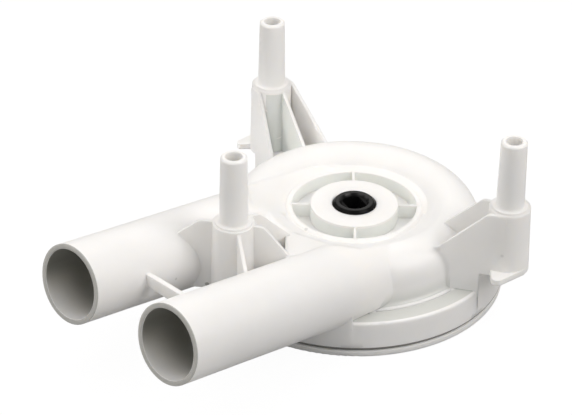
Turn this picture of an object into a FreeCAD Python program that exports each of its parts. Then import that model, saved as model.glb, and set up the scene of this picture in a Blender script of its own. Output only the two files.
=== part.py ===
import FreeCAD, Part
import os
import re
import Sketcher

# A direct drive washing machine drain pump. The frame: the pump turns about Z, z is zero under the
# cover, X runs along the two tubes towards the pump chamber and the open tube ends look to -X.

os.makedirs("parts", exist_ok=True)
doc = FreeCAD.newDocument("drain_pump")
sheet = doc.addObject("Spreadsheet::Sheet", "Sizes")

# Driving dimensions, in millimetres and degrees
SIZES = {
    # Crown ring over the volute, which stands a little off the pump's axis, and the centre inside it
    "wall": 2.5,
    "crown_x": 1.8,
    "crown_y": 1.9,
    "crown_r": 41.5,
    "crown_round": 13.2,
    "crown_z": 37.7,
    "valley_z": 33.4,
    "rim_r": 26.75,
    "rim_width": 1.9,
    "rim_z": 34.2,
    "disc_r": 18.9,
    "disc_z": 34.9,
    "channel_z": 28.0,
    "channel_rib_width": 1.2,
    "channel_rib_count": 4,
    "channel_rib_angle": 45,
    "channel_rib_z": 34.4,
    "crown_foot_round": 2.0,
    "clearing_rise": 7.5,
    "clearing_run": 16.0,
    "saddle_r": 42.3,
    "saddle_half_angle": 26,
    "saddle_round": 3.0,
    "saddle_lean": 2.0,
    # Skirt with its ledge, and the taller shoulders under the tubes and at two of the posts
    "skirt_r": 65.2,
    "seam_z": 4.4,
    "ledge_r": 64.4,
    "ledge_z": 16.3,
    "shoulder_z": 24.6,
    "tube_shoulder_half_angle": 44,
    "front_shoulder_start": -82,
    "front_shoulder_end": -62,
    "back_shoulder_start": 63,
    "back_shoulder_end": 79,
    "edge_round": 1.0,
    # Tubes, which come down into the chamber at a slight pitch
    "tube_r": 16.9,
    "tube_wall": 2.05,
    "tube_y": 29.2,
    "tube_end_x": -135.2,
    "tube_end_z": 40.84,
    "tube_pitch": 9.03,
    "tube_run_out": 20.0,
    "bore_stop_x": -45.0,
    "spigot_length": 24.0,
    "tube_draft": 0.15,
    "web_x": -107.3,
    "web_thickness": 2.3,
    "web_low_z": 35.6,
    "web_top_z": 41.4,
    # Mounting posts
    "post_z": 86.3,
    "post_foot_z": 55.7,
    "pillar_r": 5.5,
    "pillar_foot_r": 6.0,
    "pillar_edge": 0.7,
    "pillar_round": 0.8,
    "boss_r": 8.7,
    "boss_foot_r": 9.4,
    "boss_step": 0.8,
    "collar_r": 7.7,
    "plate_z": 22.0,
    "front_plate_z": 25.4,
    "post_bore_r": 3.5,
    "post_bore_depth": 30.0,
    "boss_core_r": 5.5,
    "boss_core_z": 50.0,
    "back_post_x": 22.3,
    "back_post_y": 73.9,
    "tube_post_x": -70.0,
    "tube_post_y": 1.7,
    "front_post_x": 21.8,
    "front_post_y": -68.1,
    "fin_thickness": 1.6,
    "fin_drop": 1.0,
    "knee_round": 3.5,
    "front_wall_foot": 10.0,
    "front_wall_flat": 2.6,
    "front_wall_fall": 1.1,
    "back_floor_reach": 14.0,
    "back_wall_foot_z": 10.0,
    # Base cover, welded into the skirt
    "cover_r": 65.0,
    "cover_edge_z": 3.0,
    "neck_r": 64.0,
    "lip_z": 8.5,
    "lip_gap": 0.1,
    "cover_recess_z": 2.0,
    "cover_floor": 2.5,
    "cover_foot_width": 6.0,
    "cover_rib_z": 0.6,
    "cover_rib_width": 1.6,
    "cover_rib_count": 8,
    "cover_pad_r": 12.0,
    # Rotor: impeller and drive hub
    "impeller_r": 34.0,
    "impeller_plate_z": 20.5,
    "impeller_top_z": 23.0,
    "impeller_boss_r": 15.0,
    "vane_z": 7.6,
    "vane_width": 2.4,
    "vane_count": 6,
    "hub_r": 9.3,
    "hub_z": 36.2,
    "hub_gap": 0.3,
    "hub_edge": 1.1,
    "hub_head_z": 31.9,
    "hub_stem_r": 7.5,
    "hub_foot_z": 10.0,
    "socket_r": 5.4,
    "socket_flat": 4.0,
    "socket_azimuth": 71.5,
    "socket_mouth_r": 6.6,
    "socket_floor_z": 14.0,
    # Shaft seal
    "seal_socket_r": 15.0,
    "seal_case_wall": 0.7,
    "seal_case_z": 25.0,
    "seal_socket_z": 32.4,
    "seal_case_hole_r": 9.9,
    "seal_fit": 0.05,
    "carbon_r": 11.0,
    "carbon_bore_r": 8.7,
    "carbon_height": 3.3,
    "carbon_step": 0.6,
    "carbon_step_z": 0.8,
    "seal_film": 0.05,
    "ceramic_r": 11.6,
    "ceramic_bore_r": 8.5,
    "ceramic_z": 24.2,
    "ceramic_height": 3.2,
    "cup_r": 13.2,
    "cup_floor": 1.4,
    "bellows_wall": 0.9,
    "bellows_flange_r": 13.2,
    "spring_r": 12.4,
    "spring_wire": 0.7,
    "spring_turns": 2,
    "spring_clearance": 0.3,
}

# Fins that tie the posts to the casting: which post each stands on, the way it runs, how far its
# middle plane stands to the left of the post's axis, where its flat top ends, and where its slope
# lands on the tube or the crown and how high
FINS = {
    "back_left_fin": ("back_post", -97.0, -8.0, 0.8, 12.6, 20.0),
    "back_middle_fin": ("back_post", -97.0, 0.0, 8.7, 24.6, 33.4),
    "back_right_fin": ("back_post", -97.0, 8.0, 4.6, 29.8, 35.8),
    "tube_post_back_fin": ("tube_post", 127.0, 0.0, 14.0, 24.6, 46.4),
    "tube_post_thin_fin": ("tube_post", -120.0, 0.0, 7.8, 21.6, 43.6),
    "tube_post_front_fin": ("tube_post", -60.0, 0.0, 13.0, 24.4, 42.2),
    "tube_post_crown_fin": ("tube_post", -9.0, 0.0, 12.6, 31.8, 35.2),
    "front_post_hub_fin": ("front_post", 106.5, 0.0, 12.1, 30.2, 37.0),
    "front_post_wall": ("front_post", 122.0, 8.2, 7.6, 27.3, 36.2),
}
for fin, (post, azimuth, side, knee, reach, foot_z) in FINS.items():
    SIZES[fin + "_azimuth"] = azimuth
    SIZES[fin + "_side"] = side
    SIZES[fin + "_knee"] = knee
    SIZES[fin + "_reach"] = reach
    SIZES[fin + "_foot"] = foot_z

for row, (name, size) in enumerate(SIZES.items(), 1):
    sheet.set("A%d" % row, name)
    sheet.set("B%d" % row, str(size))
    sheet.setAlias("B%d" % row, name)
doc.recompute()


def bound(text):
    """An expression in which each size's name points at its cell."""
    return re.sub(r"[a-z_]+", lambda m: "Sizes." + m.group() if m.group() in SIZES else m.group(), str(text))


def measure(text):
    """What such an expression is worth now."""
    return float(sheet.evalExpression(bound(text)))


# Sketches and features

def new_body(name):
    body = doc.addObject("PartDesign::Body", name)
    body.Label = name
    return body


def new_sketch(body, name, role, place=None):
    """A sketch on one of the body's own origin planes, moved and turned in that plane's frame."""
    sketch = body.newObject("Sketcher::SketchObject", name)
    origin_plane = next(f for f in body.Origin.OriginFeatures if f.Role == role)
    sketch.AttachmentSupport = [(origin_plane, "")]
    sketch.MapMode = "FlatFace"
    for path, text in (place or {}).items():
        sketch.setExpression("AttachmentOffset." + path, bound(text))
    return sketch


def upright(x, y, azimuth="0"):
    """Places an XZ sketch so that its origin stands at x, y and its first axis runs along the azimuth."""
    return {"Base.x": x, "Base.z": "-(%s)" % y, "Rotation.Angle": azimuth,
            "Rotation.Axis.x": "0", "Rotation.Axis.y": "1", "Rotation.Axis.z": "0"}


def level(z, x="0", y="0", azimuth="0"):
    """Places an XY sketch at a height, with its origin at x, y and its first axis along the azimuth."""
    return {"Base.x": x, "Base.y": y, "Base.z": z, "Rotation.Angle": azimuth,
            "Rotation.Axis.x": "0", "Rotation.Axis.y": "0", "Rotation.Axis.z": "1"}


def pin(sketch, geometry, point, x, y):
    """Holds one point of a sketch at x, y."""
    for kind, text in (("DistanceX", x), ("DistanceY", y)):
        index = sketch.addConstraint(Sketcher.Constraint(kind, -1, 1, geometry, point, measure(text)))
        sketch.setExpression("Constraints[%d]" % index, bound(text))


def add_circle(sketch, x, y, radius):
    middle = FreeCAD.Vector(measure(x), measure(y), 0)
    circle = sketch.addGeometry(Part.Circle(middle, FreeCAD.Vector(0, 0, 1), measure(radius)), False)
    pin(sketch, circle, 3, x, y)
    index = sketch.addConstraint(Sketcher.Constraint("Radius", circle, measure(radius)))
    sketch.setExpression("Constraints[%d]" % index, bound(radius))


def add_outline(sketch, corners):
    """A closed outline through the corners. A corner may name the radius of the arc that leads on from
    it: with a plus sign the arc bulges to the right of the way, with a minus sign to the left."""
    ends = []
    for corner, following in zip(corners, corners[1:] + corners[:1]):
        start = FreeCAD.Vector(measure(corner[0]), measure(corner[1]), 0)
        finish = FreeCAD.Vector(measure(following[0]), measure(following[1]), 0)
        if len(corner) == 2:
            ends.append((sketch.addGeometry(Part.LineSegment(start, finish), False), 1, 2))
            continue
        left_turn = corner[2][0] == "+"
        radius = corner[2][1:]
        chord = finish - start
        half = chord.Length / 2
        rise = max(measure(radius) ** 2 - half ** 2, 0) ** 0.5
        to_left = FreeCAD.Vector(-chord.y, chord.x, 0).normalize()
        middle = (start + finish) * 0.5 + to_left * (rise if left_turn else -rise)
        first, last = (start, finish) if left_turn else (finish, start)
        circle = Part.Circle(middle, FreeCAD.Vector(0, 0, 1), measure(radius))
        arc = Part.ArcOfCircle(circle, circle.parameter(first), circle.parameter(last))
        number = sketch.addGeometry(arc, False)
        ends.append((number, 1, 2) if left_turn else (number, 2, 1))
        index = sketch.addConstraint(Sketcher.Constraint("Radius", number, measure(radius)))
        sketch.setExpression("Constraints[%d]" % index, bound(radius))
    for (first, _, last_point), (second, first_point, _) in zip(ends, ends[1:] + ends[:1]):
        sketch.addConstraint(Sketcher.Constraint("Coincident", first, last_point, second, first_point))
    for (number, point, _), corner in zip(ends, corners):
        pin(sketch, number, point, corner[0], corner[1])


def turn(body, name, corners, cut=False, place=None, angle="360"):
    """Turns an outline about the sketch's upright axis, to add it or to cut it away."""
    sketch = new_sketch(body, name + "_outline", "XZ_Plane", place)
    add_outline(sketch, corners)
    feature = body.newObject("PartDesign::Groove" if cut else "PartDesign::Revolution", name)
    feature.Profile = sketch
    feature.ReferenceAxis = (sketch, ["V_Axis"])
    feature.setExpression("Angle", bound(angle))
    return feature


def extrude(body, name, sketch, length, cut=False, midplane=False, reverse=False):
    feature = body.newObject("PartDesign::Pocket" if cut else "PartDesign::Pad", name)
    feature.Profile = sketch
    feature.Midplane = midplane
    feature.Reversed = reverse
    feature.setExpression("Length", bound(length))
    return feature


def repeat_round(body, name, feature, count):
    """Repeats a feature round Z."""
    pattern = body.newObject("PartDesign::PolarPattern", name)
    pattern.Originals = [feature]
    pattern.Axis = (next(f for f in body.Origin.OriginFeatures if f.Role == "Z_Axis"), [""])
    pattern.Angle = 360
    pattern.setExpression("Occurrences", bound(count))
    body.Tip = pattern
    return pattern


def bar(width, start, finish):
    """The corners of a straight bar along the first axis."""
    half = "(%s) / 2" % width
    return [(start, "-" + half), (finish, "-" + half), (finish, half), (start, half)]


# Pump housing: one moulding with the crown, the skirt, both tubes and the three posts

CROWN_MIDDLE_Z = "(crown_z - crown_round)"
INNER_ROUND = "(crown_round - wall)"
RIM_OUTER_R = "(rim_r + rim_width)"
CEILING_Z = "(valley_z - wall)"
DECK_Z = "(shoulder_z - wall)"
FOOT_Z = {"back_post": "plate_z", "tube_post": "plate_z", "front_post": "front_plate_z"}
CENTRE = [
    (0, "disc_z"),
    ("disc_r + 1", "disc_z"),
    ("disc_r + 1", "rim_z"),
    (RIM_OUTER_R, "rim_z"),
    (RIM_OUTER_R + " + rim_z - valley_z", "valley_z"),
]


def reach_at(radius, z):
    """How far in from the crown's axis an arc of that radius stands at a height, on its inner side."""
    return "(crown_r - sqrt(%s^2 - (%s - %s)^2))" % (radius, z, CROWN_MIDDLE_Z)


def crown_place():
    return upright("crown_x", "crown_y")


def add_pan(body):
    """The skirt with its ledge, closed on top."""
    turn(body, "pan", [
        (0, "seam_z"),
        ("skirt_r", "seam_z"),
        ("ledge_r", "ledge_z - edge_round", "+edge_round"),
        ("ledge_r - edge_round", "ledge_z"),
        (0, "ledge_z"),
    ])


def add_shoulder(body, name, start, end):
    """A taller stretch of the skirt, flat on top, from one azimuth to another."""
    turn(body, name, [
        ("saddle_r - 2 * wall", "ledge_z - wall"),
        ("skirt_r - wall / 2", "ledge_z - wall"),
        ("skirt_r - wall / 2", "seam_z"),
        ("skirt_r", "seam_z"),
        ("skirt_r", "shoulder_z - edge_round", "+edge_round"),
        ("skirt_r - edge_round", "shoulder_z"),
        ("saddle_r - 2 * wall", "shoulder_z"),
    ], place=upright("0", "0", start), angle="%s - (%s)" % (end, start))


def add_crown(body):
    """The ring over the volute, and the centre with its rim."""
    turn(body, "crown", [
        (0, "ledge_z - wall / 2"),
        ("crown_r + crown_round + crown_foot_round", "ledge_z - wall / 2"),
        ("crown_r + crown_round + crown_foot_round", "ledge_z", "-crown_foot_round"),
        ("crown_r + crown_round", "ledge_z + crown_foot_round"),
        ("crown_r + crown_round", CROWN_MIDDLE_Z, "+crown_round"),
        ("crown_r", "crown_z", "+crown_round"),
        (reach_at("crown_round", "valley_z"), "valley_z"),
        (0, "valley_z"),
    ], place=crown_place())
    turn(body, "centre", [(0, "ledge_z"), (RIM_OUTER_R + " + rim_z - valley_z", "ledge_z")] + CENTRE[::-1])


def cut_saddle(body):
    """Between the tubes the crown ends in a steep wall behind the shoulder's deck."""
    turn(body, "saddle", [
        ("saddle_r + saddle_lean", "shoulder_z"),
        ("skirt_r + wall", "shoulder_z"),
        ("skirt_r + wall", "post_foot_z"),
        ("saddle_r - saddle_round", "post_foot_z"),
        ("saddle_r - saddle_round", "crown_z", "-saddle_round"),
        ("saddle_r", "crown_z - saddle_round"),
    ], cut=True, place=upright("0", "0", "180 - saddle_half_angle"), angle="2 * saddle_half_angle")


def tube_place(side, back="0"):
    """A YZ sketch at a tube's open end, or that far down its axis, that looks down the tube."""
    return {"Base.x": side + "tube_y",
            "Base.y": "tube_end_z - (%s) * sin(tube_pitch)" % back,
            "Base.z": "tube_end_x + (%s) * cos(tube_pitch)" % back,
            "Rotation.Angle": "tube_pitch",
            "Rotation.Axis.x": "1", "Rotation.Axis.y": "0", "Rotation.Axis.z": "0"}


def add_tubes(body):
    for name, side in (("front_tube", "-"), ("back_tube", "")):
        sketch = new_sketch(body, name + "_end_circle", "YZ_Plane", tube_place(side))
        add_circle(sketch, "0", "0", "tube_r")
        extrude(body, name + "_spigot", sketch, "spigot_length")
        sketch = new_sketch(body, name + "_circle", "YZ_Plane", tube_place(side, "spigot_length"))
        add_circle(sketch, "0", "0", "tube_r")
        tube = extrude(body, name, sketch, "(tube_run_out - tube_end_x) / cos(tube_pitch) - spigot_length")
        tube.setExpression("TaperAngle", bound("tube_draft"))
    sketch = new_sketch(body, "web_outline", "YZ_Plane", {"Base.z": "web_x"})
    add_outline(sketch, [("-tube_y", "web_low_z"), ("tube_y", "web_low_z"),
                         ("tube_y", "web_top_z"), ("-tube_y", "web_top_z")])
    extrude(body, "web", sketch, "web_thickness", midplane=True)


def cut_clearing(body):
    """Keeps the ground round the rim and the centre disc free of the tubes' flanks."""
    turn(body, "clearing", CENTRE + [
        (RIM_OUTER_R + " + rim_z - valley_z + clearing_run", "valley_z + clearing_rise"),
        (RIM_OUTER_R + " + rim_z - valley_z + clearing_run", "post_foot_z"),
        (0, "post_foot_z"),
    ], cut=True)


def cut_channel(body):
    """The ring channel round the centre disc, bridged by ribs."""
    turn(body, "channel", [
        ("disc_r", "channel_z"),
        ("rim_r", "channel_z"),
        ("rim_r", "crown_z"),
        ("disc_r", "crown_z"),
    ], cut=True)
    sketch = new_sketch(body, "channel_rib_outline", "XY_Plane",
                        level("channel_z - wall / 2", azimuth="channel_rib_angle"))
    add_outline(sketch, bar("channel_rib_width", "disc_r - wall / 2", "rim_r + rim_width / 2"))
    rib = extrude(body, "channel_rib", sketch, "channel_rib_z - channel_z + wall / 2")
    repeat_round(body, "channel_ribs", rib, "channel_rib_count")


def add_post(body, post):
    """A drafted boss that carries a slimmer pillar."""
    turn(body, post, [
        (0, FOOT_Z[post]),
        ("boss_foot_r", FOOT_Z[post]),
        ("boss_r", "post_foot_z - boss_step"),
        ("collar_r", "post_foot_z - boss_step"),
        ("collar_r", "post_foot_z"),
        ("pillar_foot_r + pillar_round", "post_foot_z", "-pillar_round"),
        ("pillar_foot_r", "post_foot_z + pillar_round"),
        ("pillar_r", "post_z - pillar_edge"),
        ("pillar_r - pillar_edge", "post_z"),
        (0, "post_z"),
    ], place=upright(post + "_x", post + "_y"))


def add_fin(body, fin):
    """An upright plate from a post, flat to its knee, that slopes down to the tube or the crown."""
    post = FINS[fin][0]
    foot = FOOT_Z[post]
    place = upright("%s_x - %s_side * sin(%s_azimuth)" % (post, fin, fin),
                    "%s_y + %s_side * cos(%s_azimuth)" % (post, fin, fin), fin + "_azimuth")
    top = "(post_foot_z - fin_drop)"
    slope = "((%s - %s_foot) / (%s_reach - %s_knee))" % (top, fin, fin, fin)
    length = "sqrt(1 + %s^2)" % slope
    round_start = "knee_round * (%s - 1) / %s" % (length, slope)
    knee = [("%s_knee - %s" % (fin, round_start), top, "-knee_round"),
            ("%s_knee + %s / %s" % (fin, round_start, length),
             "%s - %s * %s / %s" % (top, round_start, slope, length))]
    if fin == "back_left_fin":
        knee = [(fin + "_knee", top)]
    corners = [(0, top)] + knee + [(fin + "_reach", fin + "_foot")]
    if fin == "front_post_wall":
        end = fin + "_reach + front_wall_flat"
        corners += [(end, fin + "_foot - front_wall_fall"), (end, "ledge_z - wall / 2"),
                    ("front_wall_foot", "ledge_z - wall / 2"), ("front_wall_foot", foot), (0, foot)]
    elif fin == "back_left_fin":
        corners += [(fin + "_reach", "back_wall_foot_z"), (0, "back_wall_foot_z")]
    else:
        corners += [(fin + "_reach", foot), (0, foot)]
    sketch = new_sketch(body, fin + "_outline", "XZ_Plane", place)
    add_outline(sketch, corners)
    extrude(body, fin, sketch, "fin_thickness", midplane=True)


def add_tabs(body):
    """Flat tabs at the foot of two posts, and the floor that ties the back post to the skirt."""
    thickness = "shoulder_z - plate_z"
    front = new_sketch(body, "front_tab_outline", "XY_Plane",
                       level("front_plate_z", "front_post_x", "front_post_y"))
    add_outline(front, [(0, 6), (-7.3, 3.2), (-14.2, -4.0, "+2.6"), (-12.6, -8.4), (0.5, -9.7)])
    extrude(body, "front_tab", front, thickness)
    back = new_sketch(body, "back_tab_outline", "XY_Plane", level("plate_z", "back_post_x", "back_post_y"))
    add_outline(back, [(4, 0), (6.5, 6.5), (1.6, 10.8), (-10.2, 11.0, "+2.4"), (-11.6, 8.0), (-6.5, 3.5)])
    extrude(body, "back_tab", back, thickness)
    floor = new_sketch(body, "back_floor_outline", "XY_Plane",
                       level("plate_z", "back_post_x", "back_post_y", "back_middle_fin_azimuth"))
    add_outline(floor, bar("2 * back_right_fin_side + fin_thickness", "0", "back_floor_reach"))
    extrude(body, "back_floor", floor, thickness)


def cut_chamber(body):
    """The hollow inside: the pan, the shoulder under the tubes, the volute and the seal's socket."""
    turn(body, "pan_hollow", [
        (0, "-wall"),
        ("skirt_r - wall", "-wall"),
        ("skirt_r - wall", "ledge_z - wall"),
        (0, "ledge_z - wall"),
    ], cut=True)
    turn(body, "shoulder_hollow", [
        ("crown_r + crown_round", "ledge_z - 2 * wall"),
        ("skirt_r - wall", "ledge_z - 2 * wall"),
        ("skirt_r - wall", DECK_Z),
        ("crown_r + crown_round", DECK_Z),
    ], cut=True, place=upright("0", "0", "180 - tube_shoulder_half_angle + wall"),
        angle="2 * tube_shoulder_half_angle - 2 * wall")
    turn(body, "chamber", [
        (0, "ledge_z - wall"),
        ("crown_r + " + INNER_ROUND, "ledge_z - wall"),
        ("crown_r + " + INNER_ROUND, DECK_Z),
        ("crown_r", DECK_Z),
        ("crown_r", "crown_z - wall", "+" + INNER_ROUND),
        (reach_at(INNER_ROUND, CEILING_Z), CEILING_Z),
        (reach_at(INNER_ROUND, CEILING_Z), "channel_z - wall"),
        (0, "channel_z - wall"),
    ], cut=True, place=crown_place())
    turn(body, "volute", [
        ("crown_r", DECK_Z),
        ("crown_r + " + INNER_ROUND, DECK_Z),
        ("crown_r + " + INNER_ROUND, CROWN_MIDDLE_Z, "+" + INNER_ROUND),
        ("crown_r", "crown_z - wall"),
    ], cut=True, place=upright("crown_x", "crown_y", "saddle_half_angle - 180"),
        angle="360 - 2 * saddle_half_angle")
    turn(body, "hub_passage", [
        (0, "ledge_z"),
        ("seal_socket_r", "ledge_z"),
        ("seal_socket_r", "seal_socket_z"),
        ("hub_r + hub_gap", "seal_socket_z"),
        ("hub_r + hub_gap", "crown_z"),
        (0, "crown_z"),
    ], cut=True)


def cut_bores(body):
    """The tube bores, and the screw hole and core of each post."""
    for name, side in (("front_bore", "-"), ("back_bore", "")):
        sketch = new_sketch(body, name + "_circle", "YZ_Plane", tube_place(side, "-wall"))
        add_circle(sketch, "0", "0", "tube_r - tube_wall")
        extrude(body, name, sketch, "(bore_stop_x - tube_end_x) / cos(tube_pitch) + wall", cut=True, reverse=True)
    for post in ("back_post", "tube_post", "front_post"):
        hole = new_sketch(body, post + "_hole_circle", "XY_Plane", level("post_z", post + "_x", post + "_y"))
        add_circle(hole, "0", "0", "post_bore_r")
        extrude(body, post + "_hole", hole, "post_bore_depth", cut=True)
        core = new_sketch(body, post + "_core_circle", "XY_Plane", level("plate_z", post + "_x", post + "_y"))
        add_circle(core, "0", "0", "boss_core_r")
        extrude(body, post + "_core", core, "boss_core_z - plate_z", cut=True, reverse=True)


def make_housing():
    body = new_body("pump_housing")
    add_pan(body)
    add_shoulder(body, "tube_shoulder", "180 - tube_shoulder_half_angle", "180 + tube_shoulder_half_angle")
    add_shoulder(body, "front_shoulder", "front_shoulder_start", "front_shoulder_end")
    add_shoulder(body, "back_shoulder", "back_shoulder_start", "back_shoulder_end")
    add_crown(body)
    cut_saddle(body)
    add_tubes(body)
    cut_clearing(body)
    cut_channel(body)
    for post in ("back_post", "tube_post", "front_post"):
        add_post(body, post)
    for fin in FINS:
        add_fin(body, fin)
    add_tabs(body)
    cut_chamber(body)
    cut_bores(body)
    return body


# Base cover: a disc with a lip that is welded into the skirt

def make_cover():
    body = new_body("base_cover")
    lip_r = "skirt_r - wall - lip_gap"
    turn(body, "plate", [
        (0, "cover_recess_z"),
        ("cover_r - cover_foot_width", "cover_recess_z"),
        ("cover_r - cover_foot_width", "0"),
        ("cover_r - edge_round", "0", "+edge_round"),
        ("cover_r", "edge_round"),
        ("cover_r", "cover_edge_z - edge_round / 2"),
        ("cover_r - edge_round / 2", "cover_edge_z"),
        ("neck_r", "cover_edge_z"),
        ("neck_r", "seam_z"),
        (lip_r, "seam_z"),
        (lip_r, "lip_z"),
        (lip_r + " - cover_floor", "lip_z"),
        (lip_r + " - cover_floor", "cover_recess_z + cover_floor"),
        (0, "cover_recess_z + cover_floor"),
    ])
    sketch = new_sketch(body, "rib_outline", "XY_Plane", level("cover_rib_z"))
    add_outline(sketch, bar("cover_rib_width", "cover_pad_r - wall", "cover_r - cover_foot_width + wall / 2"))
    rib = extrude(body, "rib", sketch, "cover_recess_z + cover_floor / 2 - cover_rib_z")
    repeat_round(body, "ribs", rib, "cover_rib_count")
    pad = new_sketch(body, "pad_circle", "XY_Plane")
    add_circle(pad, "0", "0", "cover_pad_r")
    extrude(body, "pad", pad, "cover_recess_z + cover_floor / 2")
    return body


# Rotor: the impeller with its straight vanes, and the hub pressed into it that takes the motor's shaft

CUP_FLOOR_Z = "(ceramic_z - ceramic_height - cup_floor)"


def make_impeller():
    body = new_body("impeller")
    turn(body, "boss", [
        ("hub_stem_r", "vane_z"),
        ("impeller_boss_r - wall", "vane_z"),
        ("impeller_boss_r", "impeller_plate_z"),
        ("impeller_r", "impeller_plate_z"),
        ("impeller_r", "impeller_top_z"),
        ("cup_r", "impeller_top_z"),
        ("cup_r", CUP_FLOOR_Z),
        ("hub_stem_r", CUP_FLOOR_Z),
    ])
    sketch = new_sketch(body, "vane_outline", "XZ_Plane")
    add_outline(sketch, [
        ("impeller_boss_r - 2 * wall", "vane_z"),
        ("impeller_r - wall", "vane_z"),
        ("impeller_r", "impeller_plate_z"),
        ("impeller_r", "impeller_plate_z + wall / 2"),
        ("impeller_boss_r - wall / 2", "impeller_plate_z + wall / 2"),
    ])
    vane = extrude(body, "vane", sketch, "vane_width", midplane=True)
    repeat_round(body, "vanes", vane, "vane_count")
    return body


def make_hub():
    body = new_body("drive_hub")
    turn(body, "turned_form", [
        (0, "hub_foot_z"),
        ("hub_stem_r - hub_edge / 2", "hub_foot_z"),
        ("hub_stem_r", "hub_foot_z + hub_edge / 2"),
        ("hub_stem_r", "hub_head_z"),
        ("hub_r", "hub_head_z"),
        ("hub_r", "hub_z - hub_edge"),
        ("hub_r - hub_edge", "hub_z"),
        ("socket_mouth_r", "hub_z"),
        ("socket_r", "hub_z - socket_mouth_r + socket_r"),
        (0, "hub_z - socket_mouth_r + socket_r"),
    ])
    sketch = new_sketch(body, "socket_outline", "XY_Plane", level("hub_z", azimuth="socket_azimuth"))
    chord = "sqrt(socket_r^2 - socket_flat^2)"
    add_outline(sketch, [(chord, "-socket_flat", "+socket_r"), (chord, "socket_flat"),
                         ("-" + chord, "socket_flat", "+socket_r"), ("-" + chord, "-socket_flat")])
    extrude(body, "socket", sketch, "hub_z - socket_floor_z", cut=True)
    return body


# Shaft seal: the carbon side stands in the housing, the ceramic side turns with the impeller

CASE_CEILING_Z = "(seal_socket_z - seal_case_wall)"
CARBON_Z = "ceramic_z + seal_film"
BELLOWS_Z = "(%s + carbon_height)" % CARBON_Z


def make_seal_case():
    body = new_body("seal_case")
    outer = "seal_socket_r - seal_fit"
    turn(body, "cup", [
        ("seal_case_hole_r", CASE_CEILING_Z),
        (outer + " - seal_case_wall", CASE_CEILING_Z),
        (outer + " - seal_case_wall", "seal_case_z"),
        (outer, "seal_case_z"),
        (outer, "seal_socket_z"),
        ("seal_case_hole_r", "seal_socket_z"),
    ])
    return body


def make_ceramic_ring():
    body = new_body("ceramic_ring")
    turn(body, "ring", [
        ("ceramic_bore_r", "ceramic_z - ceramic_height"),
        ("ceramic_r", "ceramic_z - ceramic_height"),
        ("ceramic_r", "ceramic_z"),
        ("ceramic_bore_r", "ceramic_z"),
    ])
    return body


def make_ceramic_cup():
    body = new_body("ceramic_cup")
    turn(body, "cup", [
        ("hub_stem_r + seal_fit", CUP_FLOOR_Z),
        ("cup_r - seal_fit", CUP_FLOOR_Z),
        ("cup_r - seal_fit", "impeller_top_z"),
        ("ceramic_r", "impeller_top_z"),
        ("ceramic_r", "ceramic_z - ceramic_height"),
        ("hub_stem_r + seal_fit", "ceramic_z - ceramic_height"),
    ])
    return body


def make_carbon_ring():
    body = new_body("carbon_ring")
    step = CARBON_Z + " + carbon_step_z"
    turn(body, "ring", [
        ("carbon_bore_r", CARBON_Z),
        ("carbon_r - carbon_step", CARBON_Z),
        ("carbon_r - carbon_step", step),
        ("carbon_r", step),
        ("carbon_r", BELLOWS_Z),
        ("carbon_bore_r", BELLOWS_Z),
    ])
    return body


def make_bellows():
    """A rubber sleeve from the back of the carbon ring up to the case: a flange and one fold."""
    body = new_body("seal_bellows")
    middle = "((%s + bellows_wall + %s) / 2)" % (BELLOWS_Z, CASE_CEILING_Z)
    inner = "(seal_case_hole_r - bellows_wall / 2)"
    turn(body, "sleeve", [
        (inner, BELLOWS_Z),
        ("bellows_flange_r", BELLOWS_Z),
        ("bellows_flange_r", BELLOWS_Z + " + bellows_wall"),
        (inner + " + bellows_wall", BELLOWS_Z + " + bellows_wall"),
        (inner + " + 2 * bellows_wall", middle),
        (inner + " + bellows_wall", CASE_CEILING_Z),
        (inner, CASE_CEILING_Z),
        (inner + " + bellows_wall", middle),
    ])
    return body


def make_spring():
    """The coil round the sleeve, between its flange and the case."""
    foot = "(%s + bellows_wall + spring_clearance + spring_wire / 2)" % BELLOWS_Z
    rise = "(%s - spring_clearance - spring_wire / 2 - %s)" % (CASE_CEILING_Z, foot)
    coil = doc.addObject("Part::Helix", "spring_line")
    coil.setExpression("Radius", bound("spring_r"))
    coil.setExpression("Height", bound(rise))
    coil.setExpression("Pitch", bound("%s / spring_turns" % rise))
    coil.setExpression("Placement.Base.z", bound(foot))
    wire = doc.addObject("Part::Circle", "spring_wire")
    wire.setExpression("Radius", bound("spring_wire / 2"))
    wire.Placement.Rotation = FreeCAD.Rotation(FreeCAD.Vector(1, 0, 0), 90)
    wire.setExpression("Placement.Base.x", bound("spring_r"))
    wire.setExpression("Placement.Base.z", bound(foot))
    spring = doc.addObject("Part::Sweep", "seal_spring")
    spring.Sections = [wire]
    spring.Spine = (coil, ["Edge1"])
    spring.Solid = True
    spring.Frenet = True
    spring.Label = "seal_spring"
    return spring


housing = make_housing()
doc.recompute()
parts = [housing]
for make in (make_cover, make_impeller, make_hub, make_seal_case, make_ceramic_ring, make_ceramic_cup,
             make_carbon_ring, make_bellows, make_spring):
    parts.append(make())
doc.recompute()

for thing in doc.Objects:
    if "Invalid" in thing.State or "Error" in thing.State:
        raise SystemExit("%s did not build" % thing.Name)
for part in parts:
    if part.Shape.isNull() or not part.Shape.isValid():
        raise SystemExit("%s has no valid shape" % part.Label)
    print(part.Label, len(part.Shape.Solids), round(part.Shape.Volume), part.Shape.BoundBox)
    part.Shape.exportStep("parts/%s.step" % part.Label)
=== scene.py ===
# %% [markdown]
# # A washing machine's drain pump
#
# The pump is one white moulding of polypropylene with a cover welded on below, and a black hub that
# takes the motor's shaft. The CAD model brings every solid to its place, so this file's work is the
# look: the camera, the light, the finishes, and the small forms that the mould leaves on the
# plastic. All lengths are in metres.

import math

import bmesh
import bpy
from mathutils import Matrix, Vector


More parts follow.
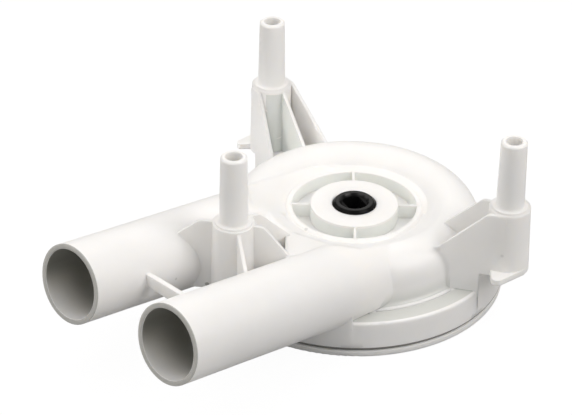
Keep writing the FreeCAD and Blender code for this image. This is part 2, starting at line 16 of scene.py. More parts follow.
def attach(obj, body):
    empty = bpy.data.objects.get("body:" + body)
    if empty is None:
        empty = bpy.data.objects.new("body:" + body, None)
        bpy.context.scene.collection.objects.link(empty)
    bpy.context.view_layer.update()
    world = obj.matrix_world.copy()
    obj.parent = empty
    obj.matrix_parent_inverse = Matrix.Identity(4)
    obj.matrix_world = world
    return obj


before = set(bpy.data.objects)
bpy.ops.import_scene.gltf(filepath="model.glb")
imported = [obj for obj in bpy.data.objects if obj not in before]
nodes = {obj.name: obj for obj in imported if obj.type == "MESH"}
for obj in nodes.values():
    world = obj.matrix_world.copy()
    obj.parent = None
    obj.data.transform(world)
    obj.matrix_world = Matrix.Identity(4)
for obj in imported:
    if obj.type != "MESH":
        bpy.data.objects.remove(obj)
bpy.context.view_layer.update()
scene = bpy.context.scene
MM = 0.001
print("CAD nodes:", sorted(nodes))

# %% [markdown]
# ## Camera
#
# A product photograph of a small part is taken from well over a metre away with a long lens, which
# keeps upright posts almost parallel. The numbers here come from matching circles on the pump, such
# as the rim and the tube ends, with their ellipses in the picture. A camera can be aimed with a
# constraint, but then its roll is hard to set, so this one is built from its azimuth, its height
# above the horizon and its small roll, and then slid sideways in its own plane.

# %% Camera
AZIMUTH = math.radians(45.104)
ELEVATION = math.radians(31.993)
ROLL = math.radians(0.926)
DISTANCE = 1.158846
SLIDE_RIGHT = -0.028815
SLIDE_UP = 0.027751
FOCAL_PIXELS = 2658.66
IMAGE_PIXELS = 572
SENSOR_WIDTH = 36
NEAREST, FARTHEST = 0.05, 20


def camera_axes():
    """The camera's right, up and backward directions in the pump's frame."""
    right = Vector((math.cos(AZIMUTH), -math.sin(AZIMUTH), 0))
    away = Vector((math.sin(AZIMUTH), math.cos(AZIMUTH), 0))
    back = -away * math.cos(ELEVATION) + Vector((0, 0, math.sin(ELEVATION)))
    up = back.cross(right)
    return (right * math.cos(ROLL) + up * math.sin(ROLL),
            up * math.cos(ROLL) - right * math.sin(ROLL), back)


right, up, back = camera_axes()
camera_data = bpy.data.cameras.new("photo_camera")
camera_data.sensor_width = SENSOR_WIDTH
camera_data.lens = SENSOR_WIDTH * FOCAL_PIXELS / IMAGE_PIXELS
camera_data.clip_start = NEAREST
camera_data.clip_end = FARTHEST
camera = bpy.data.objects.new("photo_camera", camera_data)
position = back * DISTANCE + right * SLIDE_RIGHT + up * SLIDE_UP
turn = Matrix((right, up, back)).transposed().to_4x4()
camera.matrix_world = Matrix.Translation(position) @ turn
scene.collection.objects.link(camera)
scene.camera = camera
print("lens %.1f mm" % camera_data.lens)

# %% [markdown]
# ## Studio
#
# A white background can be an object behind the pump, but it would throw light on it from one side.
# Here the world does two things at once. It fills the shadows with a weak, even light, and it looks
# white to the camera alone through a Light Path node, so the backdrop costs the object no light.

# %% World
WHITE = (1, 1, 1, 1)
FILL_TONE = (0.965, 1.0, 0.975, 1)
FILL_STRENGTH = 0.225

scene.view_settings.view_transform = "Standard"
world = bpy.data.worlds.new("studio")
scene.world = world
world.use_nodes = True
world_tree = world.node_tree
world_tree.nodes.clear()
fill = world_tree.nodes.new("ShaderNodeBackground")
fill.inputs["Color"].default_value = FILL_TONE
fill.inputs["Strength"].default_value = FILL_STRENGTH
backdrop = world_tree.nodes.new("ShaderNodeBackground")
backdrop.inputs["Color"].default_value = WHITE
backdrop.inputs["Strength"].default_value = 1
path = world_tree.nodes.new("ShaderNodeLightPath")
seen = world_tree.nodes.new("ShaderNodeMath")
seen.operation = "MAXIMUM"
world_tree.links.new(path.outputs["Is Camera Ray"], seen.inputs[0])
world_tree.links.new(path.outputs["Is Transmission Ray"], seen.inputs[1])
either = world_tree.nodes.new("ShaderNodeMixShader")
world_tree.links.new(seen.outputs[0], either.inputs["Fac"])
world_tree.links.new(fill.outputs[0], either.inputs[1])
world_tree.links.new(backdrop.outputs[0], either.inputs[2])
world_output = world_tree.nodes.new("ShaderNodeOutputWorld")
world_tree.links.new(either.outputs[0], world_output.inputs["Surface"])
print("world fill:", FILL_STRENGTH)

# %% [markdown]
# ### Lamps
#
# White plastic on white paper needs light that wraps round the form but still falls off on the
# sides, or the tubes lose their roundness. A broad lamp hangs above and a little behind the pump, a
# second strong one stands high on the right, and four weaker ones model the left, the back and the
# right end. A small spot picks out the flat cheek of the back post. The powers were found by
# rendering each lamp alone and adding the pictures up until the sum matched the photograph.

# %% Lamps
LAMP_TONE = (1.0, 0.962, 0.938)
PUMP_MIDDLE = (0, 0, 0.03)
POST_CHEEK = (0.013, 0.073, 0.034)


def hang(lamp, place, aim):
    """Puts a lamp into the scene, at a place and facing a point."""
    lamp.color = LAMP_TONE
    holder = bpy.data.objects.new(lamp.name, lamp)
    holder.location = place
    holder.rotation_euler = (Vector(place) - Vector(aim)).to_track_quat("Z", "Y").to_euler()
    scene.collection.objects.link(holder)


def softbox(name, place, width, height, power):
    """A rectangular lamp that faces the pump."""
    lamp = bpy.data.lights.new(name, "AREA")
    lamp.shape = "RECTANGLE"
    lamp.size = width
    lamp.size_y = height
    lamp.energy = power
    hang(lamp, place, PUMP_MIDDLE)


softbox("overhead", (0.12, 0.22, 1.0), 1.3, 1.3, power=6.8)
softbox("left_high", (-0.9, 0.15, 0.8), 0.8, 0.8, power=3.2)
softbox("left_back", (-0.6, 0.9, 0.5), 0.7, 0.7, power=2.3)
softbox("back", (0.6, 0.8, 0.45), 0.8, 0.8, power=1.0)
softbox("right_high", (0.25, -0.85, 0.75), 0.7, 0.7, power=6.3)
softbox("right_end", (1.0, -0.35, 0.35), 0.7, 0.6, power=0.6)
cheek_spot = bpy.data.lights.new("cheek_spot", "SPOT")
cheek_spot.energy = 8.0
cheek_spot.spot_size = math.radians(5)
cheek_spot.spot_blend = 0.6
cheek_spot.shadow_soft_size = 0.03
hang(cheek_spot, (-0.50, 0.30, 0.10), POST_CHEEK)

# %% [markdown]
# ### Paper
#
# The pump lies on white paper. Paper that is lit like the pump comes out grey, and paper that glows
# shows no shadow. So its colour is mostly white to the camera, and mixes in a share of its own
# diffuse shading, in which a soft contact shadow still grounds the object.

# %% Paper
PAPER_SIZE = 1.6
PAPER_DROP = 0.2 * MM
PAPER_GREY = (0.44, 0.44, 0.44, 1)
GLOW_STRENGTH = 1.12
GLOW_SHARE = 0.85

floor_form = bmesh.new()
bmesh.ops.create_grid(floor_form, x_segments=1, y_segments=1, size=PAPER_SIZE / 2)
bmesh.ops.translate(floor_form, vec=(0, 0, -PAPER_DROP), verts=floor_form.verts)
floor_mesh = bpy.data.meshes.new("paper_floor")
floor_form.to_mesh(floor_mesh)
floor_form.free()
floor = bpy.data.objects.new("paper_floor", floor_mesh)
scene.collection.objects.link(floor)

# %% Paper's finish
paper = bpy.data.materials.new("white_paper")
paper.use_nodes = True
paper_tree = paper.node_tree
paper_tree.nodes.clear()
matt = paper_tree.nodes.new("ShaderNodeBsdfDiffuse")
matt.inputs["Color"].default_value = PAPER_GREY
glow = paper_tree.nodes.new("ShaderNodeEmission")
glow.inputs["Color"].default_value = WHITE
glow.inputs["Strength"].default_value = GLOW_STRENGTH
paper_path = paper_tree.nodes.new("ShaderNodeLightPath")
share = paper_tree.nodes.new("ShaderNodeMath")
share.operation = "MULTIPLY"
share.inputs[1].default_value = GLOW_SHARE
paper_tree.links.new(paper_path.outputs["Is Camera Ray"], share.inputs[0])
paper_mix = paper_tree.nodes.new("ShaderNodeMixShader")
paper_tree.links.new(share.outputs[0], paper_mix.inputs["Fac"])
paper_tree.links.new(matt.outputs[0], paper_mix.inputs[1])
paper_tree.links.new(glow.outputs[0], paper_mix.inputs[2])
paper_output = paper_tree.nodes.new("ShaderNodeOutputMaterial")
paper_tree.links.new(paper_mix.outputs[0], paper_output.inputs["Surface"])
floor_mesh.materials.append(paper)
print("paper: %.1f m wide" % PAPER_SIZE)

# %% [markdown]
# ## Finishes
#
# Every finish starts from the same few nodes: a pattern on Object coordinates, which are metres
# here, so a noise of scale 400 has grains of about 2.5 mm; a Bump node for grain that the light can
# catch; and a Bevel node, which rounds the shading of sharp CAD edges the way a real mould's
# radiused edges do, without a single extra face.

# %% Finish helper
DRIFT_SCALE = 60
DRIFT_DETAIL = 3
DRIFT_STOPS = (0.3, 0.7)
GRAIN_DETAIL = 2
GRAIN_DEPTH = 0.1 * MM
EDGE_SAMPLES = 6


def noise(tree, place, scale, detail):
    """A noise pattern of a given scale on the shaded point's place."""
    pattern = tree.nodes.new("ShaderNodeTexNoise")
    pattern.inputs["Scale"].default_value = scale
    pattern.inputs["Detail"].default_value = detail
    tree.links.new(place, pattern.inputs["Vector"])
    return pattern.outputs["Fac"]


def finish(name, colour, roughness, edge, grain, grain_scale=1800, tone=0.02):
    """A Principled material with edges rounded by some millimetres, a fine grain and a slow drift
    in tone."""
    material = bpy.data.materials.new(name)
    material.use_nodes = True
    tree = material.node_tree
    shader = tree.nodes["Principled BSDF"]
    shader.inputs["Roughness"].default_value = roughness
    place = tree.nodes.new("ShaderNodeTexCoord").outputs["Object"]
    ramp = tree.nodes.new("ShaderNodeValToRGB")
    for stop, at, level in zip(ramp.color_ramp.elements, DRIFT_STOPS, (1 - tone, 1 + tone)):
        stop.position = at
        stop.color = [min(part * level, 1) for part in colour] + [1]
    tree.links.new(noise(tree, place, DRIFT_SCALE, DRIFT_DETAIL), ramp.inputs["Fac"])
    tree.links.new(ramp.outputs["Color"], shader.inputs["Base Color"])
    rounding = tree.nodes.new("ShaderNodeBevel")
    rounding.samples = EDGE_SAMPLES
    rounding.inputs["Radius"].default_value = edge * MM
    bump = tree.nodes.new("ShaderNodeBump")
    bump.inputs["Strength"].default_value = grain
    bump.inputs["Distance"].default_value = GRAIN_DEPTH
    tree.links.new(noise(tree, place, grain_scale, GRAIN_DETAIL), bump.inputs["Height"])
    tree.links.new(rounding.outputs["Normal"], bump.inputs["Normal"])
    tree.links.new(bump.outputs["Normal"], shader.inputs["Normal"])
    return material


def dress(node, material):
    """Gives a CAD node its finish."""
    mesh = nodes[node].data
    mesh.materials.clear()
    mesh.materials.append(material)


# %% [markdown]
# ### White polypropylene
#
# The moulding is unpainted polypropylene: a warm white with a satin sheen, a little light passing
# under its skin. A plain white with a shine would do from afar. A touch of subsurface scattering
# softens the shadows inside the channel and under the fins, where hard black would look like
# painted metal.

# %% White polypropylene
WHITE_PLASTIC = (0.91, 0.90, 0.885)
SKIN_DEPTH = (4.0 * MM, 3.7 * MM, 3.2 * MM)

white_moulding = finish("white_moulding", WHITE_PLASTIC, 0.36, edge=0.7, grain=0.05, tone=0.012)
white_shader = white_moulding.node_tree.nodes["Principled BSDF"]
white_shader.inputs["Subsurface Weight"].default_value = 0.50
white_shader.inputs["Subsurface Radius"].default_value = SKIN_DEPTH
white_shader.inputs["Subsurface Scale"].default_value = 1.0
for node in ("pump_housing", "base_cover"):
    dress(node, white_moulding)
print("white moulding on:", [name for name in sorted(nodes)
                             if nodes[name].active_material == white_moulding])

# %% [markdown]
# ### Masks
#
# One material covers the whole moulding, yet its bores, ledges and seams are darker than its open
# faces, because shade is painted into their colour there. Vertex colours could paint them, but the
# CAD meshes stay untouched, so each place is found by arithmetic on the shaded point's Object
# coordinates. A mask is a number from zero to one, masks are combined by multiplying them, and a
# Mix node tints the colour where the mask is one.

# %% Mask helpers
def reckon(tree, operation, first, second=0):
    """A Math node's result, from two sockets or plain numbers."""
    step = tree.nodes.new("ShaderNodeMath")
    step.operation = operation
    for number, value in enumerate((first, second)):
        if isinstance(value, (int, float)):
            step.inputs[number].default_value = value
        else:
            tree.links.new(value, step.inputs[number])
    return step.outputs[0]


def product(tree, result, *factors):
    """Several sockets or numbers multiplied with each other."""
    for factor in factors:
        result = reckon(tree, "MULTIPLY", result, factor)
    return result


def total(tree, result, *parts):
    """Several sockets or numbers added up."""
    for part in parts:
        result = reckon(tree, "ADD", result, part)
    return result


def diagonal(tree, first, second):
    """How far a point is from an axis, given its two distances from it."""
    squares = total(tree, product(tree, first, first), product(tree, second, second))
    return reckon(tree, "SQRT", squares)


def opposite(tree, mask):
    """One where a mask is zero, and zero where it is one."""
    return reckon(tree, "SUBTRACT", 1, mask)


def within(tree, value, low, high):
    """One where a number lies between two limits, else zero."""
    return product(tree, reckon(tree, "GREATER_THAN", value, low),
                   reckon(tree, "LESS_THAN", value, high))


def ramp_up(tree, value, start, end):
    """Rises smoothly from zero at the start to one at the end."""
    rise = tree.nodes.new("ShaderNodeMapRange")
    rise.interpolation_type = "SMOOTHSTEP"
    rise.inputs["From Min"].default_value = start
    rise.inputs["From Max"].default_value = end
    tree.links.new(value, rise.inputs["Value"])
    return rise.outputs["Result"]


def ramp_down(tree, value, start, end):
    """Falls smoothly from one at the start to zero at the end."""
    return opposite(tree, ramp_up(tree, value, start, end))


# %% Where the shaded point is
def shaded_place(tree):
    """The shaded point's Object coordinates: as a vector, then X, Y and Z."""
    place = tree.nodes.new("ShaderNodeTexCoord").outputs["Object"]
    split = tree.nodes.new("ShaderNodeSeparateXYZ")
    tree.links.new(place, split.inputs[0])
    return [place] + [split.outputs[axis] for axis in "XYZ"]


def near(tree, place, point, full, none):
    """One up to a distance from a point, and zero from a larger distance on."""
    distance = tree.nodes.new("ShaderNodeVectorMath")
    distance.operation = "DISTANCE"
    distance.inputs[1].default_value = point
    tree.links.new(place, distance.inputs[0])
    return ramp_down(tree, distance.outputs["Value"], full, none)


def darken(material, mask, tint):
    """Multiplies a material's colour by a tint where the mask is one."""
    tree = material.node_tree
    base = tree.nodes["Principled BSDF"].inputs["Base Color"]
    shade = tree.nodes.new("ShaderNodeMix")
    shade.data_type = "RGBA"
    shade.blend_type = "MULTIPLY"
    shade.inputs["B"].default_value = tuple(tint) + (1,)
    tree.links.new(mask, shade.inputs["Factor"])
    tree.links.new(base.links[0].from_socket, shade.inputs["A"])
    tree.links.new(shade.outputs["Result"], base)


tree = white_moulding.node_tree
place, x, y, height = shaded_place(tree)
from_axis = diagonal(tree, x, y)
beside = reckon(tree, "ABSOLUTE", y)
print("nodes in the white moulding:", len(tree.nodes))

# %% [markdown]
# ### Inside the tubes
#
# The photograph's tubes are a flat grey inside, with daylight on the lower half near the mouth and
# a slow return to lighter plastic further down. Light alone leaves them too bright, because the
# white walls pass it on. So shade is painted into the bore's colour, except where the daylight
# falls, and the painted shade fades further down. The tube's end face is tinted a darker grey.

# %% Inside the tubes
TUBE_END = (-0.1352, 0.0292, 0.04084)
TUBE_PITCH = math.radians(9.03)
BORE_RADIUS = 0.0155
BORE_DEPTHS = (0.0004, 0.088)
DAYLIGHT_RISE = (-0.012, 0.003)
DAYLIGHT_DEPTH = (0.001, 0.023)
RETURN_DEPTH = (0.014, 0.050)
BORE_SHADE_TINT = (0.32, 0.325, 0.305)
END_FACE_RADII = (0.0149, 0.0175)
END_FACE_DEPTHS = (-0.0004, 0.0004)
END_FACE_TINT = (0.56, 0.565, 0.555)


def place_in_tube(tree):
    """How deep in a tube the shaded point lies, how far above its axis and how far from it. Y is
    folded over, so that the same numbers serve both tubes."""
    inward = reckon(tree, "SUBTRACT", x, TUBE_END[0])
    across = reckon(tree, "SUBTRACT", beside, TUBE_END[1])
    above = reckon(tree, "SUBTRACT", height, TUBE_END[2])
    cosine, sine = math.cos(TUBE_PITCH), math.sin(TUBE_PITCH)
    depth = reckon(tree, "SUBTRACT", product(tree, inward, cosine), product(tree, above, sine))
    rise = total(tree, product(tree, inward, sine), product(tree, above, cosine))
    return depth, rise, diagonal(tree, rise, across)


depth, rise, radius = place_in_tube(tree)
bore = product(tree, reckon(tree, "LESS_THAN", radius, BORE_RADIUS),
               within(tree, depth, *BORE_DEPTHS))
daylight = product(tree, ramp_down(tree, rise, *DAYLIGHT_RISE),
                   ramp_down(tree, depth, *DAYLIGHT_DEPTH))
# Painted shade: the bore's colour is darkened, except where daylight falls near the mouth.
shade = product(tree, bore, opposite(tree, daylight), ramp_down(tree, depth, *RETURN_DEPTH))
darken(white_moulding, shade, BORE_SHADE_TINT)
# The tube's end face is tinted a darker grey.
tube_end_face = product(tree, within(tree, radius, *END_FACE_RADII), within(tree, depth, *END_FACE_DEPTHS))
darken(white_moulding, tube_end_face, END_FACE_TINT)
print("bores tinted %.1f to %.0f mm in" % (BORE_DEPTHS[0] / MM, RETURN_DEPTH[1] / MM))

# %% [markdown]
# ### Ledge, foot and seam
#
# Round the crown runs a ledge that lies in the crown's shade, which is painted into its colour, and
# painted shade darkens the crown's foot towards it on the front side. Lower down, painted shade
# darkens the groove where the cover is welded into the skirt to a fine dark line.
# Each is a ring about the hub's axis, so a range of radius and a range of height find it.

# %% Ledge, foot and seam
LEDGE_HEIGHTS = (0.0160, 0.0166)
LEDGE_INNER_EDGE = (0.0553, 0.0568)
LEDGE_OUTER_EDGE = (0.0628, 0.0635)
LEDGE_SHADE_TINT = (0.72, 0.74, 0.725)
FOOT_RADII = (0.050, 0.0543)
FOOT_HEIGHTS = (0.01629, 0.0240)
FOOT_FADE = (0.0170, 0.0240)
FOOT_FRONT = -0.030
FOOT_SHADE_TINT = (0.82, 0.84, 0.83)
SEAM_RADIUS = 0.0656
SEAM_HEIGHTS = (0.00302, 0.0048)
SEAM_SHADE_TINT = (0.30, 0.30, 0.29)

# Painted shade: the ledge is darkened where the crown shades it.
ledge_shade = product(tree, within(tree, height, *LEDGE_HEIGHTS),
                ramp_up(tree, from_axis, *LEDGE_INNER_EDGE),
                ramp_down(tree, from_axis, *LEDGE_OUTER_EDGE))
darken(white_moulding, ledge_shade, LEDGE_SHADE_TINT)
# Painted shade at the crown's foot, on the front side, fading upwards.
foot_shade = product(tree, within(tree, from_axis, *FOOT_RADII), within(tree, height, *FOOT_HEIGHTS),
               ramp_down(tree, height, *FOOT_FADE), reckon(tree, "LESS_THAN", y, FOOT_FRONT))
darken(white_moulding, foot_shade, FOOT_SHADE_TINT)
# Painted shade in the groove of the weld seam.
seam_shade = product(tree, reckon(tree, "LESS_THAN", from_axis, SEAM_RADIUS),
               within(tree, height, *SEAM_HEIGHTS))
darken(white_moulding, seam_shade, SEAM_SHADE_TINT)
print("seam %.1f mm high" % ((SEAM_HEIGHTS[1] - SEAM_HEIGHTS[0]) / MM))

# %% [markdown]
# ### Channel and pocket
#
# The walls of the ring channel round the hub get a cool, slightly darker painted shade, and the
# pocket between two fins of the back post gets a deeper, greenish grey painted shade. The fins
# stand at 7 degrees to the frame, so the pocket's mask measures along a line turned by as much, and
# the true normal keeps the painted shade on upright faces.

# %% Channel and pocket
CHANNEL_RADII = (0.0187, 0.0272)
CHANNEL_HEIGHTS = (0.0283, 0.0338)
CHANNEL_SHADE_TINT = (0.945, 0.975, 0.965)
FIN_TURN = math.radians(7)
POCKET_SIDES = (0.0053, 0.0124)
POCKET_HEIGHTS = (0.0225, 0.0538)
POCKET_REACH = (0.045, 0.0696)
UPRIGHT = (-0.15, 0.15)
POCKET_SHADE_TINT = (0.80, 0.835, 0.83)

# Painted shade: a cool, slightly darker tint on the channel's walls and floor.
channel_shade = product(tree, within(tree, from_axis, *CHANNEL_RADII),
                  within(tree, height, *CHANNEL_HEIGHTS))
darken(white_moulding, channel_shade, CHANNEL_SHADE_TINT)
beside_fin = reckon(tree, "SUBTRACT", product(tree, x, math.cos(FIN_TURN)),
                    product(tree, y, math.sin(FIN_TURN)))
normal = tree.nodes.new("ShaderNodeSeparateXYZ")
tree.links.new(tree.nodes.new("ShaderNodeNewGeometry").outputs["True Normal"], normal.inputs[0])
# Painted shade in the pocket between two fins of the back post.
pocket_shade = product(tree, within(tree, beside_fin, *POCKET_SIDES),
                 within(tree, height, *POCKET_HEIGHTS), within(tree, y, *POCKET_REACH),
                 within(tree, normal.outputs["Z"], *UPRIGHT))
darken(white_moulding, pocket_shade, POCKET_SHADE_TINT)
print("pocket %.1f mm high" % ((POCKET_HEIGHTS[1] - POCKET_HEIGHTS[0]) / MM))

# %% [markdown]
# ### Softer edges
#
# Most edges of the moulding are crisp, but some creases are filled with a wide radius: where a tube
# meets the crown, under the collars of the outer posts, on the saddle beside the rim, and at both
# ends of the tall part of the skirt. Real fillets there would be fragile in the CAD model, so the
# Bevel node gets a larger radius in those places. It changes the shading and leaves the outline.

# %% Softer edges
CREASE_POINT = (-0.002, -0.046, 0.030)
CREASE_REACH = (0.008, 0.014)
CREASE_WIDTH = 0.0040
COLLAR_BESIDE = 0.05
COLLAR_HEIGHTS = (0.0535, 0.0580)
COLLAR_WIDTH = 0.0010
SADDLE_RADII = (0.0298, 0.056)
SADDLE_HEIGHTS = (0.0333, 0.0445)
SADDLE_BESIDE = 0.009
SADDLE_WIDTH = 0.0022
SKIRT_RADIUS = 0.0635
SKIRT_HEIGHTS = (0.0046, 0.0135)
SKIRT_ENDS = (-136, -82)
SKIRT_MARGIN = 4
SKIRT_WIDTH = 0.0030

crease = near(tree, place, CREASE_POINT, *CREASE_REACH)
collar = product(tree, reckon(tree, "GREATER_THAN", beside, COLLAR_BESIDE),
                 within(tree, height, *COLLAR_HEIGHTS))
saddle = product(tree, within(tree, from_axis, *SADDLE_RADII),
                 within(tree, height, *SADDLE_HEIGHTS), reckon(tree, "LESS_THAN", x, 0.0),
                 reckon(tree, "GREATER_THAN", beside, SADDLE_BESIDE))
wide = total(tree, product(tree, crease, CREASE_WIDTH), product(tree, collar, COLLAR_WIDTH),
             product(tree, saddle, SADDLE_WIDTH))
azimuth = reckon(tree, "ARCTAN2", y, x)
for end in SKIRT_ENDS:
    near_end = within(tree, azimuth, math.radians(end - SKIRT_MARGIN),
                      math.radians(end + SKIRT_MARGIN))
    on_skirt = product(tree, reckon(tree, "GREATER_THAN", from_axis, SKIRT_RADIUS),
                       within(tree, height, *SKIRT_HEIGHTS))
    wide = total(tree, wide, product(tree, near_end, on_skirt, SKIRT_WIDTH))
edge_radius = next(n for n in tree.nodes if n.type == "BEVEL").inputs["Radius"]
tree.links.new(total(tree, wide, edge_radius.default_value), edge_radius)
print("widest edge radius %.1f mm" % ((CREASE_WIDTH + edge_radius.default_value) / MM))

# %% [markdown]
# ### Marks and a painted shadow
#
# A used mould leaves small marks: a gate scar, a speck in the plastic, a scuff. They are too flat
# for geometry, so each is a soft dark dot about a point, and its tint says how dark it is. The
# darkest dot, at the foot of the post that stands between the tubes, is no mark but a painted
# shadow in that corner.

# %% Marks and a painted shadow
# The fourth dot, the darkest, is a painted shadow in the corner beside the boss of the post between
# the tubes.
MARKS_AND_PAINTED_SHADOW = [((-0.0287, 0.0005, 0.0341), 0.0011, 0.80), ((0.0137, -0.0722, 0.0359), 0.0009, 0.86),
         ((-0.0361, -0.0440, 0.0164), 0.0007, 0.72), ((-0.0772, 0.0100, 0.0238), 0.0012, 0.45),
         ((-0.0924, 0.0124, 0.0321), 0.0008, 0.78)]

for point, size, level in MARKS_AND_PAINTED_SHADOW:
    darken(white_moulding, near(tree, place, point, size * 0.5, size), (level, level, level))
print("marks:", len(MARKS_AND_PAINTED_SHADOW), "nodes in the white moulding:", len(tree.nodes))

# %% [markdown]
# ### Black hub
#
# The hub is smooth black nylon. Its flat top shows as nearly black, and a ring between its bore and
# its rim catches the light. A second material would need faces of its own, so the same mask helpers
# raise the shine on that ring.

# %% Black hub
RING_INNER_EDGE = (0.0056, 0.0066)
RING_OUTER_EDGE = (0.0076, 0.0084)
DULL_SHINE = 0.05
RING_SHINE = 0.30

black_hub = finish("black_hub", (0.006, 0.006, 0.006), 0.22, edge=0.4, grain=0.01)
hub_tree = black_hub.node_tree
_, hub_x, hub_y, _ = shaded_place(hub_tree)
from_hub_axis = diagonal(hub_tree, hub_x, hub_y)
ring = product(hub_tree, ramp_up(hub_tree, from_hub_axis, *RING_INNER_EDGE),
               ramp_down(hub_tree, from_hub_axis, *RING_OUTER_EDGE))
shine = total(hub_tree, DULL_SHINE, product(hub_tree, ring, RING_SHINE))
hub_tree.links.new(shine, hub_tree.nodes["Principled BSDF"].inputs["Specular IOR Level"])
dress("drive_hub", black_hub)
print("nodes in the black hub:", len(hub_tree.nodes))

# %% [markdown]
# ### Inner pieces
#
# The impeller is grey polypropylene. The shaft seal is a lapped ring of ceramic that turns on a
# lapped ring of carbon, held by rubber, a spring and a case of drawn steel. They hide inside the
# pump, but an opened copy shows them, so each gets the finish of its material.

# %% Inner pieces
dress("impeller", finish("grey_moulding", (0.66, 0.66, 0.64), 0.42, edge=0.5, grain=0.05))
for node in ("seal_case", "seal_spring"):
    steel = finish("drawn_steel_" + node, (0.56, 0.56, 0.55), 0.28, edge=0.15, grain=0.04,
                   grain_scale=3000)
    steel.node_tree.nodes["Principled BSDF"].inputs["Metallic"].default_value = 1
    dress(node, steel)
dress("ceramic_ring", finish("lapped_ceramic", (0.84, 0.83, 0.79), 0.18, edge=0.1, grain=0.01))
dress("carbon_ring", finish("lapped_carbon", (0.03, 0.03, 0.032), 0.35, edge=0.1, grain=0.03))
for node in ("ceramic_cup", "seal_bellows"):
    dress(node, finish("moulded_rubber_" + node, (0.018, 0.018, 0.018), 0.6, edge=0.2, grain=0.06))
print("materials:", sorted(material.name for material in bpy.data.materials))

# %% [markdown]
# ## Small moulded forms
#
# A few forms on the moulding are left to the scene. Each is a mesh of its own in the moulding's
# white that rides on the housing, with its place in its mesh and its object at the origin. Cutting
# them into the CAD mesh would be hard to undo, and it isn't needed, because pieces of one material
# that overlap look like one.

# %% Helper for small forms
def moulded_piece(name, form):
    """Makes an object of a finished form, in the moulding's white, that rides on the housing."""
    mesh = bpy.data.meshes.new(name)
    bmesh.ops.recalc_face_normals(form, faces=form.faces)
    form.to_mesh(mesh)
    form.free()
    mesh.materials.append(white_moulding)
    piece = bpy.data.objects.new(name, mesh)
    scene.collection.objects.link(piece)
    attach(piece, "housing")
    print("%s: %d faces" % (name, len(mesh.polygons)))


# %% [markdown]
# ### Bead at the crown's foot
#
# A fine bead of plastic runs along the foot of the crown where it meets the ledge, on the front
# side. A curve with a bevel could make it, but a circle spun about Z with bmesh is already a mesh,
# and its height is easily faded out at both ends.

# %% Bead at the crown's foot
BEAD_SEGMENTS = 16
BEAD_STEPS = 60
BEAD_FADE = math.radians(5)


def foot_bead(radius, low, width, rise, start, end):
    """A half-round bead about Z, from one azimuth to another, that fades away at both ends."""
    form = bmesh.new()
    outline = bmesh.ops.create_circle(form, segments=BEAD_SEGMENTS, radius=width / 2)["verts"]
    bmesh.ops.scale(form, vec=(1, rise / (width / 2), 1), verts=outline)
    bmesh.ops.rotate(form, cent=(0, 0, 0), matrix=Matrix.Rotation(math.pi / 2, 3, "X"),
                     verts=outline)
    bmesh.ops.translate(form, vec=(radius, 0, low), verts=outline)
    bmesh.ops.rotate(form, cent=(0, 0, 0), matrix=Matrix.Rotation(start, 3, "Z"), verts=outline)
    bmesh.ops.spin(form, geom=form.edges[:], cent=(0, 0, 0), axis=(0, 0, 1), angle=end - start,
                   steps=BEAD_STEPS)
    for vert in form.verts:
        bearing = math.atan2(vert.co.y, vert.co.x)
        fade = min(bearing - start, end - bearing) / BEAD_FADE
        vert.co.z = low + (vert.co.z - low) * math.sqrt(min(max(fade, 0), 1))
    for face in form.faces:
        face.smooth = True
    moulded_piece("foot_bead", form)


foot_bead(55.0 * MM, 16.3 * MM, 1.9 * MM, 1.0 * MM, math.radians(-126), math.radians(-88))

# %% [markdown]
# ### Cheek of the back post
#
# The back post's boss is round, but its outer side is closed by a flat cheek whose lower part
# widens like a fin. One grid is cut to its outline with planes, loses the corner where the foot's
# tab passes, and is extruded to its thickness. A boolean would do the same with more faces.

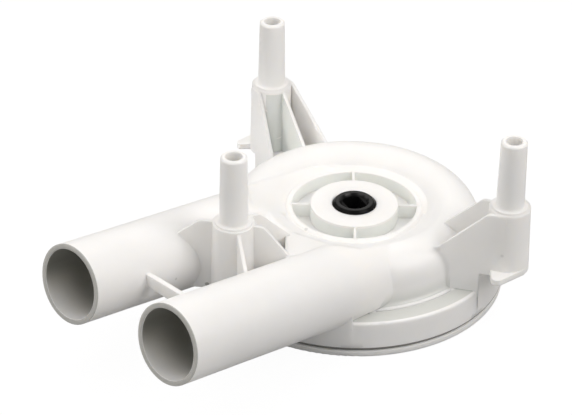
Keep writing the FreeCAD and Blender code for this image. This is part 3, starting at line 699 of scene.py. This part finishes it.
# %% Cheek of the back post
def boss_cheek(post, azimuth, side, thickness, width, height, slope, notch):
    """An upright plate beside a post: a rectangle along the azimuth with a slanted outer edge and
    a notch at its lower corner, where the foot's tab passes."""
    form = bmesh.new()
    bmesh.ops.create_grid(form, x_segments=1, y_segments=1, size=0.5)
    bmesh.ops.scale(form, vec=(width[1] - width[0], height[1] - height[0], 1), verts=form.verts)
    bmesh.ops.rotate(form, cent=(0, 0, 0), matrix=Matrix.Rotation(math.pi / 2, 3, "X"),
                     verts=form.verts)
    bmesh.ops.translate(form, vec=(sum(width) / 2, side + thickness, sum(height) / 2),
                        verts=form.verts)
    (low_x, low_z), (high_x, high_z) = slope
    cuts = [((low_x, 0, low_z), (high_z - low_z, 0, low_x - high_x), True),
            ((0, 0, notch[1]), (0, 0, 1), False), ((notch[0], 0, 0), (1, 0, 0), False)]
    for point, across, clear in cuts:
        bmesh.ops.bisect_plane(form, geom=form.verts[:] + form.edges[:] + form.faces[:],
                               plane_co=point, plane_no=across, clear_outer=clear)
    middles = [(face, face.calc_center_median()) for face in form.faces]
    cut_away = [face for face, middle in middles if middle.x < notch[0] and middle.z < notch[1]]
    bmesh.ops.delete(form, geom=cut_away, context="FACES")
    grown = bmesh.ops.extrude_face_region(form, geom=form.faces[:])["geom"]
    moved = [item for item in grown if isinstance(item, bmesh.types.BMVert)]
    bmesh.ops.translate(form, vec=(0, -thickness, 0), verts=moved)
    bmesh.ops.rotate(form, cent=(0, 0, 0), matrix=Matrix.Rotation(azimuth, 3, "Z"),
                     verts=form.verts)
    bmesh.ops.translate(form, vec=post, verts=form.verts)
    moulded_piece("boss_cheek", form)


boss_cheek(post=(22.3 * MM, 73.9 * MM, 0), azimuth=math.radians(-97), side=-9.45 * MM,
           thickness=1.6 * MM, width=(-2.5 * MM, 13.6 * MM), height=(12 * MM, 54.6 * MM),
           slope=((13.6 * MM, 22.4 * MM), (2.65 * MM, 54.6 * MM)), notch=(2.0 * MM, 25.0 * MM))

# %% [markdown]
# ### Web beside the front tube
#
# Between the crown and the front tube a web of plastic carries the crown's slope on. It is a sheet
# between four corners, so a grid is laid over them with a low arch and thickened downwards. It is
# thicker than it looks, because light that scatters under the surface leaves a thin sheet on the
# far side and turns it blue.

# %% Web beside the front tube
WEB_SEGMENTS = 20


def crown_web(inner, outer, crown, thickness):
    """A sheet of the moulding between the crown's edge and a tube, each given by two points."""
    form = bmesh.new()
    bmesh.ops.create_grid(form, x_segments=WEB_SEGMENTS, y_segments=WEB_SEGMENTS, size=0.5)
    for vert in form.verts:
        along, out = vert.co.x + 0.5, vert.co.y + 0.5
        near_crown = Vector(inner[0]).lerp(Vector(inner[1]), along)
        near_tube = Vector(outer[0]).lerp(Vector(outer[1]), along)
        vert.co = near_crown.lerp(near_tube, out) + Vector((0, 0, crown * 4 * out * (1 - out)))
    for face in form.faces:
        face.smooth = True
    bmesh.ops.recalc_face_normals(form, faces=form.faces)
    bmesh.ops.solidify(form, geom=form.faces[:], thickness=-thickness)
    moulded_piece("crown_web", form)


crown_web(inner=((-0.0384, 0.0030, 0.0371), (-0.0330, -0.0180, 0.0371)),
          outer=((-0.0603, -0.0189, 0.0434), (-0.0410, -0.0262, 0.0424)),
          crown=0.3 * MM, thickness=6 * MM)
